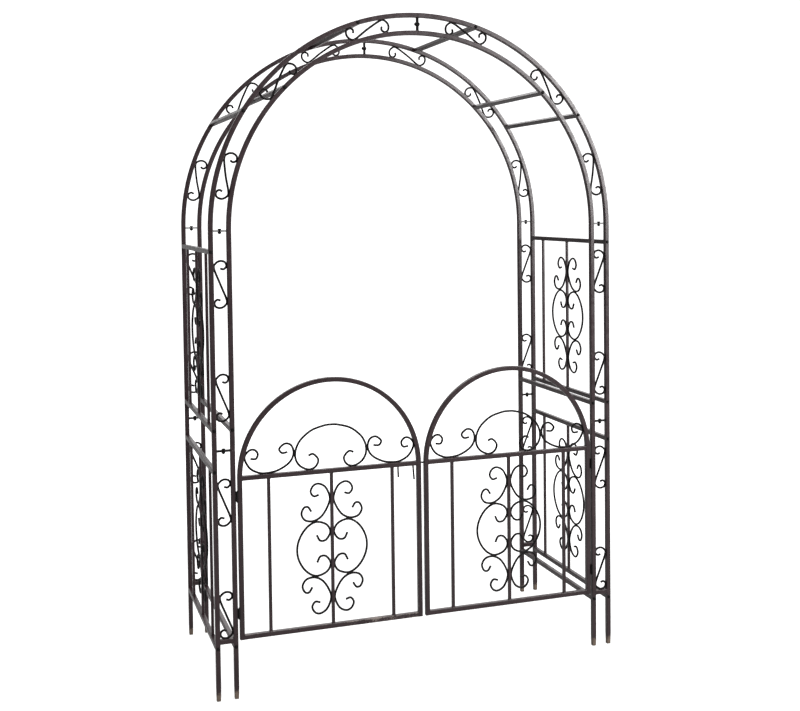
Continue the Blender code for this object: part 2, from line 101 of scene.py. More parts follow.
# A gate rail is a touch thinner than the frame. Its rings lie at these parts of its half length,
# and the left bottom rail is scuffed towards the middle of the arch, ring by ring.
RAIL = TUBE - 0.0002
RAIL_RINGS = (-1.0, -0.6, -0.2, 0.1, 0.35, 0.65, 0.9, 1.0)
RAIL_SCUFFS = (0.3, 0.3, 0.2, 0.3, 0.8, 1.4, 1.8, 1.6, 0.5, 0.3)

# Joints, bolts and latch
STRIP = 0.0022
STRIP_INSET = 0.0002
STRIP_DEEP = TUBE - 0.0004
STRIP_BEVEL = 0.0005
BOLT_HEAD = 0.0115
FLANGE = ((BOLT_HEAD / 2, -0.0004), (BOLT_HEAD / 2, 0.0007), (BOLT_HEAD / 2 - 0.0007, 0.0012))
HEXAGON = ((0.0043, 0.0008), (0.0043, 0.0035), (0.0037, 0.0040))
LATCH_ROD = 0.006
LATCH_TIP = 0.0035
LATCH_TAIL = -0.094
LATCH_HOLE = 0.0074
LATCH_HOLE_END = 0.0165
PRONG = 0.006
PRONGS = ((-0.0855, 0.042, 0.004), (-0.0330, 0.052, 0.0113))
PRONG_BEND = ((0.0, 0.0), (0.25, 0.3), (0.62, 0.68), (1.0, 1.0))

# Scroll outlines: across and up
LADDER_SCROLL = ((0.0005, 0.0500), (0.0110, 0.0475), (0.0196, 0.0570), (0.0150, 0.0695),
                 (0.0000, 0.0734), (-0.0140, 0.0660), (-0.0192, 0.0500))
END_SCROLL = ((0.0434, 0.1754), (0.0600, 0.1722), (0.0702, 0.1881), (0.0610, 0.2065),
              (0.0430, 0.2118), (0.0203, 0.1985), (0.0064, 0.1640), (0.0150, 0.1335),
              (0.0350, 0.1050), (0.0620, 0.0918), (0.0890, 0.0965), (0.1015, 0.1165),
              (0.0940, 0.1365), (0.0800, 0.1390), (0.0690, 0.1235))
WAIST_SCROLL = ((0.0515, 0.0445), (0.0405, 0.0258), (0.0205, 0.0275), (0.0064, 0.0515),
                (0.0185, 0.0765), (0.0500, 0.0880), (0.0765, 0.0790), (0.0985, 0.0570),
                (0.1130, 0.0285))
WAIST_REACH = 0.1175
SIDE_SCROLL = ((0.2645, 0.0585), (0.2470, 0.0580), (0.2410, 0.0740), (0.2540, 0.0875),
               (0.2720, 0.0830), (0.2838, 0.0620), (0.2680, 0.0300), (0.2400, 0.0130),
               (0.2130, 0.0095), (0.1750, 0.0160), (0.1380, 0.0380), (0.1245, 0.0660),
               (0.1320, 0.0920), (0.1520, 0.0990), (0.1710, 0.0840), (0.1630, 0.0700),
               (0.1446, 0.0710))
CROWN_SCROLL = ((0.0755, 0.0543), (0.0600, 0.0583), (0.0432, 0.0390), (0.0520, 0.0170),
                (0.0755, 0.0093), (0.1020, 0.0215), (0.1165, 0.0420), (0.1190, 0.0650),
                (0.1130, 0.0875), (0.0980, 0.1100), (0.0650, 0.1350), (0.0240, 0.1475))
CROWN_TOP = 0.1495

# Weld spots: across, up, radius and stretch along the three axes
EVEN = (1.0, 1.0, 1.0)
TALL = (0.9, 0.9, 1.4)
NARROW = (0.8, 0.9, 1.3)
LOW = (1.5, 0.9, 0.8)
LADDER_TOUCH = LADDER / 2 - TUBE / 2 - 0.0012
LADDER_WELDS = ((LADDER_TOUCH, 0.0570, 0.0027, NARROW), (-LADDER_TOUCH, 0.0500, 0.0027, NARROW))
MOTIF_WELDS = ((0.0052, 0.1600, 0.0026, TALL), (0.0052, 0.0520, 0.0026, TALL),
               (0.0500, 0.0903, 0.0027, EVEN))
GATE_WELDS = ((0.2130, 0.0078, 0.0026, LOW), (0.0730, 0.0078, 0.0026, LOW),
              (0.1210, 0.0680, 0.0028, (1.0, 0.9, 1.4)), (0.2862, 0.0620, 0.0024, NARROW))

# The material slots of every piece, and the most wear a corner can have
MAIN_SLOT = 0
HEAD_SLOT = 1
SCROLL_SLOT = 2
MOST_WEAR = 2.0

# Softened edges of the carried-over solids
MERGE = 0.00002
BOLT_BEVEL = 0.0005
HINGE_BEVEL = 0.0002
SHARP = math.radians(35.0)
SMOOTH = math.radians(38.0)

# Studio: name, place, aim, size and watts of each light
LIGHTS = (("key", (3.00, -3.55, 2.42), (0.6, -0.3, 1.8), (1.25, 1.45), 215.0),
          ("top", (0.8, -1.4, 5.6), (0.0, 0.0, 1.0), (2.4, 1.6), 100.0),
          ("rear", (0.0, 3.4, 5.4), (0.0, 0.3, 1.2), (2.6, 1.6), 130.0))
FLOOR_REACH = 14.0
PAPER_GLOW = 1.06

# The camera: where it stands, how it is turned, and its focal length and centre in picture widths
CAMERA_SPOT = (-1.26838, -3.70219, 1.5600)
CAMERA_YAW = 0.30687
CAMERA_PITCH = -0.03730
CAMERA_ROLL = -0.01315
FOCAL = 1.3803875
SHIFT = (0.04275, -0.13748)
SENSOR = 36.0

X_AXIS = Vector((1.0, 0.0, 0.0))
Y_AXIS = Vector((0.0, 1.0, 0.0))
Z_AXIS = Vector((0.0, 0.0, 1.0))

# ---------------------------------------------------------------- materials


class Nodes:
    """A short way to fill a node tree. The place is where on the object or in the room it is."""

    def __init__(self, tree, coordinates):
        self.tree = tree
        self.place = tree.nodes.new("ShaderNodeTexCoord").outputs[coordinates]

    def node(self, kind, inputs=(), **settings):
        made = self.tree.nodes.new(kind)
        for key, value in settings.items():
            setattr(made, key, value)
        for key, value in dict(inputs).items():
            self.set(made.inputs[key], value)
        return made

    def set(self, socket, value):
        if isinstance(value, bpy.types.NodeSocket):
            self.tree.links.new(value, socket)
        else:
            socket.default_value = value

    def noise(self, scale, detail, rough=0.55, warp=0.0):
        made = self.node("ShaderNodeTexNoise", {"Vector": self.place, "Scale": scale, "Detail": detail,
                                                "Roughness": rough, "Distortion": warp})
        return made.outputs["Fac"]

    def ramp(self, value, low, high, start=0.0, end=1.0):
        made = self.node("ShaderNodeMapRange", {"Value": value, "From Min": low, "From Max": high,
                                                "To Min": start, "To Max": end})
        made.interpolation_type = "SMOOTHSTEP"
        return made.outputs["Result"]

    def math(self, operation, first, second):
        made = self.node("ShaderNodeMath", {0: first, 1: second}, operation=operation, use_clamp=False)
        return made.outputs[0]

    def mix(self, amount, first, second):
        made = self.node("ShaderNodeMix", data_type="RGBA")
        self.set(made.inputs[0], amount)
        self.set(made.inputs[6], first)
        self.set(made.inputs[7], second)
        return made.outputs[2]


class Paint(Nodes):
    """A node material with one shader."""

    def __init__(self, name):
        self.material = bpy.data.materials.new(name)
        self.material.use_nodes = True
        super().__init__(self.material.node_tree, "Object")
        self.shader = self.tree.nodes["Principled BSDF"]

    def give(self, socket, value):
        self.set(self.shader.inputs[socket], value)


CHIP = (0.17, 0.14, 0.125, 1.0)
SOIL = (0.125, 0.092, 0.070, 1.0)
SOIL_TALL = 0.060
DUST_LIFT = 2.4
WEAR_PULL = 0.17


def powder_coat(name, deep, pale, chip=CHIP, chip_level=0.80, rough=(0.27, 0.40), gloss=0.42):
    """Satin powder coat: orange peel, cloudy tone, dust, chips on worn edges and soil at the feet."""
    coat = Paint(name)
    cloud = coat.ramp(coat.noise(9.0, 4.0, 0.6, 0.4), 0.35, 0.68)
    tone = coat.mix(cloud, deep, pale)
    dust = coat.ramp(coat.noise(170.0, 5.0, 0.72), 0.60, 0.74, 0.0, 0.18)
    dusty = tuple(min(1.0, part * DUST_LIFT) for part in pale[:3]) + (1.0,)
    tone = coat.mix(dust, tone, dusty)

    worn = coat.node("ShaderNodeAttribute", attribute_name="wear").outputs["Fac"]
    scuff = coat.math("ADD", coat.noise(260.0, 7.0, 0.75, 0.3), coat.math("MULTIPLY", worn, WEAR_PULL))
    broad = coat.ramp(coat.noise(21.0, 2.0, 0.5), 0.42, 0.66, -0.06, 0.06)
    chips = coat.ramp(coat.math("ADD", scuff, broad), chip_level, chip_level + 0.035)
    tone = coat.mix(chips, tone, chip)

    height = coat.node("ShaderNodeSeparateXYZ", {0: coat.place}).outputs["Z"]
    splash = coat.math("MULTIPLY", coat.noise(120.0, 6.0, 0.7), 0.6)
    soil = coat.math("ADD", coat.ramp(height, 0.0, SOIL_TALL, 0.62, 0.0), splash)
    soil = coat.ramp(soil, 0.62, 0.80)
    coat.give("Base Color", coat.mix(soil, tone, SOIL))

    damage = coat.math("MAXIMUM", chips, soil)
    base_rough = coat.ramp(coat.noise(60.0, 4.0, 0.6), 0.3, 0.7, *rough)
    coat.give("Roughness", coat.math("ADD", base_rough, coat.math("MULTIPLY", damage, 0.3)))
    peel = coat.node("ShaderNodeBump", {"Strength": 0.12, "Distance": 0.00010,
                                        "Height": coat.noise(900.0, 2.0, 0.5)})
    dent = coat.node("ShaderNodeBump", {"Strength": 0.5, "Distance": 0.0003,
                                        "Height": coat.math("SUBTRACT", 1.0, damage),
                                        "Normal": peel.outputs["Normal"]})
    coat.give("Normal", dent.outputs["Normal"])
    coat.give("Metallic", 0.0)
    coat.give("Specular IOR Level", gloss)
    coat.material.diffuse_color = deep
    return coat.material


def dull_zinc(name):
    """Darkened zinc plating: streaky tone, matte bloom and a fine grain."""
    zinc = Paint(name)
    cloud = zinc.ramp(zinc.noise(420.0, 5.0, 0.65, 0.6), 0.36, 0.66)
    tone = zinc.mix(cloud, (0.0035, 0.0032, 0.0032, 1.0), (0.012, 0.011, 0.0105, 1.0))
    bloom = zinc.ramp(zinc.noise(900.0, 4.0, 0.7), 0.58, 0.70, 0.0, 0.5)
    zinc.give("Base Color", zinc.mix(bloom, tone, (0.045, 0.042, 0.040, 1.0)))
    zinc.give("Roughness", zinc.ramp(cloud, 0.0, 1.0, 0.46, 0.66))
    bump = zinc.node("ShaderNodeBump", {"Strength": 0.3, "Distance": 0.0002,
                                        "Height": zinc.noise(1400.0, 3.0, 0.6)})
    zinc.give("Normal", bump.outputs["Normal"])
    zinc.give("Metallic", 0.4)
    zinc.give("Specular IOR Level", 0.15)
    return zinc.material


COAT = powder_coat("powder_coat_fine", (0.0155, 0.0062, 0.0080, 1.0), (0.0255, 0.0128, 0.0150, 1.0))
PANEL = powder_coat("panel_coat_fine", (0.0160, 0.0068, 0.0086, 1.0), (0.0265, 0.0138, 0.0160, 1.0))
GATE = powder_coat("gate_coat_fine", (0.0145, 0.0056, 0.0073, 1.0), (0.0235, 0.0116, 0.0136, 1.0))
HINGE = powder_coat("hinge_coat_fine", (0.0040, 0.0034, 0.0034, 1.0), (0.0100, 0.0085, 0.0085, 1.0),
                    chip=(0.12, 0.11, 0.10, 1.0), chip_level=0.82, rough=(0.42, 0.58), gloss=0.14)
HEAD = powder_coat("bolt_black_fine", (0.0030, 0.0026, 0.0026, 1.0), (0.0080, 0.0070, 0.0070, 1.0),
                   chip=(0.10, 0.09, 0.085, 1.0), chip_level=0.88, rough=(0.45, 0.62), gloss=0.12)
# The scroll wires' darker, neutral copy of the coat is partly their own near-black colour and partly
# painted shade that darkens the thin round wires.
SCROLL_BLACK_AND_SHADE = powder_coat("scroll_black_and_shade_fine", (0.0042, 0.0036, 0.0037, 1.0), (0.0080, 0.0066, 0.0069, 1.0),
                     chip_level=0.84, rough=(0.42, 0.56), gloss=0.10)
ZINC = dull_zinc("zinc_fine")

# ---------------------------------------------------------------- mesh helpers


def new_mesh():
    bm = bmesh.new()
    bm.verts.layers.float.new("wear")
    return bm


def corner_vert(bm, point, wear):
    made = bm.verts.new(point)
    made[bm.verts.layers.float["wear"]] = wear
    return made


def bridge(bm, one, two, slot):
    """Faces between two rings with the same number of corners."""
    size = len(one)
    for n in range(size):
        made = bm.faces.new((one[n], one[(n + 1) % size], two[(n + 1) % size], two[n]))
        made.material_index = slot


def square_section(size, corner):
    """(across, deep, wear) around a square with round corners, wear being highest on the corners."""
    section = []
    reach = size / 2 - corner
    lead = min(corner * 1.6, reach * 0.6)
    for quarter in range(4):
        start = math.pi / 2 * quarter
        sign_a = 1 if quarter in (0, 3) else -1
        sign_d = 1 if quarter in (0, 1) else -1
        centre = Vector((sign_a * reach, sign_d * reach))
        for turn, slide, wear in ((0, -lead, 0.0), (0, 0, 0.55), (1, 0, 1.0), (2, 0, 1.0),
                                  (3, 0, 0.55), (3, lead, 0.0)):
            angle = start + math.pi / 6 * turn
            out = Vector((math.cos(angle), math.sin(angle)))
            along = Vector((-out.y, out.x))
            spot = centre + out * corner + along * slide
            section.append((spot.x, spot.y, wear))
    return section


def round_section(diameter, sides=12, wear=0.35):
    return [(diameter / 2 * math.cos(2 * math.pi * n / sides),
             diameter / 2 * math.sin(2 * math.pi * n / sides), wear) for n in range(sides)]


TUBE_SECTION = square_section(TUBE, TUBE_ROUND)
SLEEVE_SECTION = square_section(TUBE - 2 * WALL, SLEEVE_ROUND)
WIRE_SECTION = round_section(WIRE)


def sweep(bm, path, section, normal, scales=None, chamfer=CHAMFER, scuffs=None, slot=MAIN_SLOT):
    """A solid with chamfered ends along a path that lies in the plane of the normal.

    The scales narrow the section at the path's points, and the scuffs add wear to its rings,
    which are two more than the points because of the chamfers.
    """
    path = [Vector(point) for point in path]
    scales = list(scales or [1.0] * len(path))
    width = max(across for across, _, _ in section)
    shrink = 1 - chamfer / width
    scales = [scales[0] * shrink] + scales + [scales[-1] * shrink]
    lead_in = (path[1] - path[0]).normalized() * chamfer
    lead_out = (path[-1] - path[-2]).normalized() * chamfer
    path = [path[0], path[0] + lead_in] + path[1:-1] + [path[-1] - lead_out, path[-1]]
    end_wear = [0.5, 0.4] + [0.0] * (len(path) - 4) + [0.4, 0.5]
    rings = []
    for n, point in enumerate(path):
        before = path[max(n - 1, 0)]
        after = path[min(n + 1, len(path) - 1)]
        side = normal.cross((after - before).normalized()).normalized()
        more_wear = end_wear[n] + (scuffs[n] if scuffs else 0.0)
        rings.append([corner_vert(bm, point + (side * across + normal * deep) * scales[n],
                                  min(MOST_WEAR, wear + more_wear))
                      for across, deep, wear in section])
    for one, two in zip(rings, rings[1:]):
        bridge(bm, one, two, slot)
    for ring in (rings[0], rings[-1]):
        bm.faces.new(ring).material_index = slot


def smooth_path(points, steps=6):
    """A Catmull-Rom curve through the points."""
    points = [Vector(p) for p in points]
    ends = [points[0] * 2 - points[1]] + points + [points[-1] * 2 - points[-2]]
    path = []
    for n in range(1, len(ends) - 2):
        a, b, c, d = ends[n - 1:n + 3]
        for k in range(steps):
            t = k / steps
            path.append(0.5 * ((2 * b) + (c - a) * t + (2 * a - 5 * b + 4 * c - d) * t * t
                               + (3 * b - a - 3 * c + d) * t ** 3))
    path.append(points[-1])
    return path


def wire(bm, points, normal):
    sweep(bm, smooth_path(points), WIRE_SECTION, normal, chamfer=WIRE_CHAMFER, slot=SCROLL_SLOT)


def weld_spot(bm, centre, size, stretch):
    """A small uneven blob of weld."""
    made = bmesh.ops.create_icosphere(bm, subdivisions=2, radius=size)
    layer = bm.verts.layers.float["wear"]
    centre = Vector(centre)
    for v in made["verts"]:
        lump = 1 + 0.22 * noise.noise((v.co / size + centre * 370.0) * 1.3)
        v.co = Vector(part * wide for part, wide in zip(v.co * lump, stretch)) + centre
        v[layer] = 0.3


def weld_ring(bm, centre, along, across, half, bead=BEAD):
    """An uneven bead round a square bar where it meets the face of another."""
    centre = Vector(centre)
    deep = along.cross(across)
    reach = half + bead * 0.15
    path = []
    corners = ((1, 1), (-1, 1), (-1, -1), (1, -1), (1, 1))
    steps = 7
    for (a0, d0), (a1, d1) in zip(corners, corners[1:]):
        for step in range(steps):
            t = (step + 0.5) / steps
            a = (a0 + (a1 - a0) * t) * reach
            d = (d0 + (d1 - d0) * t) * reach
            path.append(centre + across * a + deep * d)
    scales = [1 + 0.35 * noise.noise(point * 600.0) for point in path]
    count = len(path)
    section = round_section(bead * 2, 6, 0.3)
    rings = []
    for n, point in enumerate(path):
        run = (path[(n + 1) % count] - path[n - 1]).normalized()
        side = along.cross(run).normalized()
        rings.append([corner_vert(bm, point + (side * a + along * d) * scales[n], w)
                      for a, d, w in section])
    for n in range(count):
        bridge(bm, rings[n], rings[(n + 1) % count], MAIN_SLOT)


def lathe(bm, base, out, across, profile, sides, wear):
    """Rings of (radius, height) about an axis, closed at both ends."""
    up = out.cross(across)
    rings = []
    for radius, height in profile:
        ring = []
        for n in range(sides):
            angle = 2 * math.pi * n / sides
            ring.append(corner_vert(bm, base + out * height
                                    + (across * math.cos(angle) + up * math.sin(angle)) * radius, wear))
        rings.append(ring)
    for one, two in zip(rings, rings[1:]):
        bridge(bm, one, two, HEAD_SLOT)
    for ring in (rings[0], rings[-1]):
        bm.faces.new(ring).material_index = HEAD_SLOT


def bolt_head(bm, x, z, turn):
    """A flanged hexagon head on the front face of a tube."""
    base = Vector((x, -TUBE / 2, z))
    out = -Y_AXIS
    across = Vector((math.cos(turn), 0.0, math.sin(turn)))
    lathe(bm, base, out, across, FLANGE, 24, 0.5)
    lathe(bm, base, out, across, HEXAGON, 6, 0.75)


def flat_strip(bm, centre, size):
    made = bmesh.ops.create_cube(bm, size=1.0, matrix=Matrix.LocRotScale(centre, None, size))
    edges = list(dict.fromkeys(edge for v in made["verts"] for edge in v.link_edges))
    cut = bmesh.ops.bevel(bm, geom=edges, offset=STRIP_BEVEL, segments=2, affect="EDGES", profile=0.5)
    layer = bm.verts.layers.float["wear"]
    for v in cut["verts"]:
        v[layer] = 0.5
        for face in v.link_faces:
            face.material_index = SCROLL_SLOT


def piece(bm, node, body, material, matrix=Matrix.Identity(4)):
    """The mesh as the visible piece that takes a CAD node's place."""
    name = node + "_fine"
    bm.transform(matrix)
    bmesh.ops.recalc_face_normals(bm, faces=bm.faces)
    mesh = bpy.data.meshes.new(name)
    bm.to_mesh(mesh)
    bm.free()
    for coat in (material, HEAD, SCROLL_BLACK_AND_SHADE):
        mesh.materials.append(coat)
    mesh.shade_smooth()
    mesh.set_sharp_from_angle(angle=SMOOTH)
    thing = bpy.data.objects.new(name, mesh)
    bpy.context.scene.collection.objects.link(thing)
    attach(thing, body)
    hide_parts(node)


# ---------------------------------------------------------------- arch sections


def on_arc(radius, degrees, side):
    angle = math.radians(degrees)
    return Vector((side * radius * math.cos(angle), 0.0, SPRING + radius * math.sin(angle)))


def ladder_scroll(bm, spot):
    """The spot turns (across, up) into a point of the ladder's plane."""
    half = list(LADDER_SCROLL)
    outline = half + [(0.0, 0.0)] + [(-across, -up) for across, up in reversed(half)]
    wire(bm, [spot(across, up) for across, up in outline], Y_AXIS)
    for sign in (1, -1):
        for across, up, size, stretch in LADDER_WELDS:
            weld_spot(bm, spot(sign * across, sign * up), size, stretch)


def joint_strip(bm, x, z, horizontal=True):
    reach = LADDER - TUBE + 2 * WELD
    size = (reach, STRIP_DEEP, STRIP) if horizontal else (STRIP, STRIP_DEEP, reach)
    flat_strip(bm, Vector((x, 0.0, z)), Vector(size))


def sleeve(bm, low, high):
    """The sleeve inside two tubes that meet, which keeps daylight out of the seam."""
    sweep(bm, (low, high), SLEEVE_SECTION, Y_AXIS)


def lower_ladder(bm, side):
    """Two legs that narrow towards the ground, with a rung, two scrolls and the joint's strip."""
    top = MID_JOINT - SEAM / 2
    foot = FOOT_END / TUBE
    heights = (0.0, FOOT_EDGE_TALL, FOOT_TAPER * 0.5, FOOT_TAPER, FOOT_TAPER * 2, top / 2, top)
    scales = (foot * FOOT_EDGE, foot, (1 + foot) / 2, 1.0, 1.0, 1.0, 1.0)
    for x in (side * OUTER, side * INNER):
        sweep(bm, [(x, 0, z) for z in heights], TUBE_SECTION, Y_AXIS, scales)
    middle = side * LADDER_MID
    reach = LADDER / 2 - TUBE / 2 + WELD
    sweep(bm, ((middle - reach, 0, RUNG_HEIGHT), (middle + reach, 0, RUNG_HEIGHT)), TUBE_SECTION, Y_AXIS)
    for end in (-1, 1):
        weld_ring(bm, (middle + end * (reach - WELD), 0, RUNG_HEIGHT), X_AXIS, Y_AXIS, RUNG_BEAD_HALF)
    joint_strip(bm, middle, top - STRIP_INSET - STRIP / 2)
    for height in LOWER_SCROLLS:
        ladder_scroll(bm, lambda a, u, h=height: Vector((side * (LADDER_MID - a), 0, h + u)))
    for number, height in enumerate(PANEL_RAILS[0]):
        bolt_head(bm, side * OUTER, height, 0.3 + number)
    bolt_head(bm, side * INNER, SPACER_HEIGHTS[0], 0.7)


def upper_ladder(bm, side):
    """Two straight tubes between the mid joint and the spring joint."""
    bottom = MID_JOINT + SEAM / 2
    top = SPRING - SEAM / 2
    for x in (side * OUTER, side * INNER):
        sweep(bm, [(x, 0, z) for z in (bottom, (bottom + top) / 2, top)], TUBE_SECTION, Y_AXIS)
        sleeve(bm, (x, 0, bottom - SLEEVE), (x, 0, bottom + SLEEVE))
    joint_strip(bm, side * LADDER_MID, bottom + STRIP_INSET + STRIP / 2)
    joint_strip(bm, side * LADDER_MID, top - STRIP_INSET - STRIP / 2)
    for height in UPPER_SCROLLS:
        ladder_scroll(bm, lambda a, u, h=height: Vector((side * (LADDER_MID - a), 0, h + u)))
    for number, height in enumerate(PANEL_RAILS[1]):
        bolt_head(bm, side * OUTER, height, 0.1 + number)
    bolt_head(bm, side * INNER, SPACER_HEIGHTS[1], 0.5)


def quarter_arch(bm, side):
    """Two bent tubes from the spring joint to the apex. The left one holds the apex sleeves."""
    start = math.degrees(SEAM / 2 / OUTER)
    step = (90.0 - 2 * start) / ARC_RINGS
    for radius in (OUTER, INNER):
        sweep(bm, [on_arc(radius, start + step * n, side) for n in range(ARC_RINGS + 1)],
              TUBE_SECTION, Y_AXIS)
        sleeve(bm, (side * radius, 0, SPRING - SLEEVE), (side * radius, 0, SPRING + SLEEVE))
        if side < 0:
            sleeve(bm, (-SLEEVE, 0, SPRING + radius), (SLEEVE, 0, SPRING + radius))
    joint_strip(bm, side * LADDER_MID, SPRING + SEAM / 2 + STRIP_INSET + STRIP / 2)
    joint_strip(bm, side * (SEAM / 2 + STRIP_INSET + STRIP / 2), SPRING + LADDER_MID, False)
    for degrees in ARC_SCROLL_ANGLES:
        ladder_scroll(bm, lambda a, u, d=degrees: on_arc(
            LADDER_MID - a, d + math.degrees(u / LADDER_MID), side))
    for label, degrees in CROSS_BARS:
        point = on_arc(INNER if label == "inner" else OUTER, degrees, side)
        bolt_head(bm, point.x, point.z, degrees)


def build_arch():
    makers = (("lower_ladder", lower_ladder), ("upper_ladder", upper_ladder),
              ("quarter_arch", quarter_arch))
    to_front = Matrix.Translation((0, FRONT, 0))
    to_back = Matrix.Translation((0, BACK, 0)) @ Matrix.Rotation(math.pi, 4, "Z")
    for kind, make in makers:
        for side, label, opposite in ((-1, "left", "right"), (1, "right", "left")):
            places = ((f"front_{label}_{kind}", to_front), (f"back_{opposite}_{kind}", to_back))
            for node, matrix in places:
                bm = new_mesh()
                make(bm, side)
                piece(bm, node, "frame", COAT, matrix)


# ---------------------------------------------------------------- panels and bars


def motif(bm, spot, normal):
    """Six scrolls back to back on a centre bar. The spot turns (across, up) into a point."""
    half = list(WAIST_SCROLL)
    waist = half + [(WAIST_REACH, 0.0)] + [(across, -up) for across, up in reversed(half)]
    for hand in (1, -1):
        wire(bm, [spot(hand * across, up) for across, up in waist], normal)
        for end in (1, -1):
            wire(bm, [spot(hand * across, end * up) for across, up in END_SCROLL], normal)
            for across, up, size, stretch in MOTIF_WELDS:
                weld_spot(bm, spot(hand * across, end * up), size, stretch)


def upright_bar(bm, x, y, rails, size, normal):
    """A bar between two rails, with a weld bead at both ends."""
    low = rails[0] + TUBE / 2 - WELD
    high = rails[1] - TUBE / 2 + WELD
    sweep(bm, ((x, y, low), (x, y, high)), square_section(size, BAR_ROUND), normal)
    for z in (low + WELD, high - WELD):
        weld_ring(bm, (x, y, z), Z_AXIS, X_AXIS, size / 2, SMALL_BEAD)


def link_bar(bm, x=0.0, z=0.0):
    """A level tube between the front and back arches."""
    sweep(bm, ((x, -LINK_REACH, z), (x, 0, z), (x, LINK_REACH, z)), TUBE_SECTION, X_AXIS)


def side_panel(bm, x, rails):
    for height in rails:
        link_bar(bm, x, height)
    for y in (-PANEL_BAR_OFFSET, 0.0, PANEL_BAR_OFFSET):
        upright_bar(bm, x, y, rails, BAR, X_AXIS)
    middle = sum(rails) / 2
    motif(bm, lambda across, up: Vector((x, across, middle + up)), X_AXIS)


def build_links():
    for side, label in ((-1, "left"), (1, "right")):
        for rails, level in zip(PANEL_RAILS, ("lower", "upper")):
            bm = new_mesh()
            side_panel(bm, side * OUTER, rails)
            piece(bm, f"{label}_{level}_side_panel", "frame", PANEL)
        places = [(f"{label}_{level}_spacer_bar", Vector((side * INNER, 0, height)), 0.0)
                  for height, level in zip(SPACER_HEIGHTS, ("lower", "upper"))]
        for kind, degrees in CROSS_BARS:
            point = on_arc(INNER if kind == "inner" else OUTER, degrees, side)
            places.append((f"{label}_{kind}_cross_bar", point, -side * math.radians(degrees)))
        for node, point, turn in places:
            bm = new_mesh()
            link_bar(bm)
            matrix = Matrix.Translation(point) @ Matrix.Rotation(turn, 4, "Y")
            piece(bm, node, "frame", PANEL, matrix)


# ---------------------------------------------------------------- gates and latch


def drilled(bm, start, end, width):
    """The closed solid with a round hole cut from start to end."""
    tool = new_mesh()
    sweep(tool, (start, end), round_section(width, 28, 0.8), Y_AXIS, chamfer=0.0001)
    pieces = []
    for solid in (bm, tool):
        bmesh.ops.recalc_face_normals(solid, faces=solid.faces)
        mesh = bpy.data.meshes.new("latch_hole")
        solid.to_mesh(mesh)
        solid.free()
        pieces.append(bpy.data.objects.new("latch_hole", mesh))
        bpy.context.scene.collection.objects.link(pieces[-1])
    body, cutter = pieces
    cut = body.modifiers.new("cut", "BOOLEAN")
    cut.operation = "DIFFERENCE"
    cut.solver = "EXACT"
    cut.object = cutter
    result = bmesh.new()
    result.from_object(body, bpy.context.evaluated_depsgraph_get())
    for thing in pieces:
        mesh = thing.data
        bpy.data.objects.remove(thing)
        bpy.data.meshes.remove(mesh)
    return result


def gate_frame(side):
    """The bent tube round a leaf. The right one has the hole that the latch enters."""
    bm = new_mesh()
    right = side * GATE_CENTRE + GATE_HALF
    left = side * GATE_CENTRE - GATE_HALF
    foot = GATE_BOTTOM - TUBE / 2
    path = [Vector((right, FRONT, foot)), Vector((right, FRONT, GATE_STILE_RING))]
    for n in range(GATE_HEAD_STEPS + 1):
        angle = math.pi * n / GATE_HEAD_STEPS
        path.append(Vector((side * GATE_CENTRE + GATE_HALF * math.cos(angle), FRONT,
                            GATE_SPRING + GATE_HALF * math.sin(angle))))
    path += [Vector((left, FRONT, GATE_STILE_RING)), Vector((left, FRONT, foot))]
    sweep(bm, path, TUBE_SECTION, Y_AXIS)
    if side > 0:
        bm = drilled(bm, (0.0, FRONT, GATE_MID), (LATCH_HOLE_END, FRONT, GATE_MID), LATCH_HOLE)
    return bm


def gate_rail(bm, centre, height, scuffs):
    reach = GATE_HALF - TUBE / 2 + WELD
    sweep(bm, [(centre + reach * ring, FRONT, height) for ring in RAIL_RINGS],
          square_section(RAIL, TUBE_ROUND), Y_AXIS, scuffs=scuffs)
    for end in (-1, 1):
        weld_ring(bm, (centre + end * (reach - WELD), FRONT, height), X_AXIS, Y_AXIS, RAIL_BEAD_HALF)


def gate_head_scrolls(bm, centre):
    """Two lying scrolls and the crown between them, on the middle rail."""
    for hand in (1, -1):
        wire(bm, [(centre + hand * across, FRONT, GATE_MID + up) for across, up in SIDE_SCROLL], Y_AXIS)
        for across, up, size, stretch in GATE_WELDS:
            weld_spot(bm, (centre + hand * across, FRONT, GATE_MID + up), size, stretch)
    half = list(CROWN_SCROLL)
    outline = half + [(0.0, CROWN_TOP)] + [(-across, up) for across, up in reversed(half)]
    wire(bm, [(centre + across, FRONT, GATE_MID + up) for across, up in outline], Y_AXIS)


def gate(side):
    bm = gate_frame(side)
    centre = side * GATE_CENTRE
    gate_rail(bm, centre, GATE_BOTTOM, RAIL_SCUFFS if side < 0 else None)
    gate_rail(bm, centre, GATE_MID, None)
    for offset in (-GATE_BAR_OFFSET, 0.0, GATE_BAR_OFFSET):
        upright_bar(bm, centre + offset, FRONT, (GATE_BOTTOM, GATE_MID), GATE_BAR, Y_AXIS)
    motif(bm, lambda across, up: Vector((centre + across, FRONT, GATE_MOTIF + up)), Y_AXIS)
    gate_head_scrolls(bm, centre)
    return bm


def latch():
    """The sliding rod inside the left leaf's middle rail, with two bent prongs."""
    bm = new_mesh()
    sweep(bm, [(x, FRONT, GATE_MID) for x in (LATCH_TAIL, LATCH_TAIL / 2, LATCH_TIP)],
          round_section(LATCH_ROD, 16, 0.6), Y_AXIS, chamfer=0.0009)
    for x, drop, lean in PRONGS:
        path = [(x, FRONT - lean * out, GATE_MID - drop * down) for out, down in PRONG_BEND]
        sweep(bm, smooth_path(path), round_section(PRONG, 14, 0.5), X_AXIS, chamfer=0.0008)
    return bm


def build_gates():
    for side, label in ((-1, "left"), (1, "right")):
        piece(gate(side), f"{label}_gate", f"{label}_gate_leaf", GATE)
    piece(latch(), "latch_bolt", "latch", HINGE)


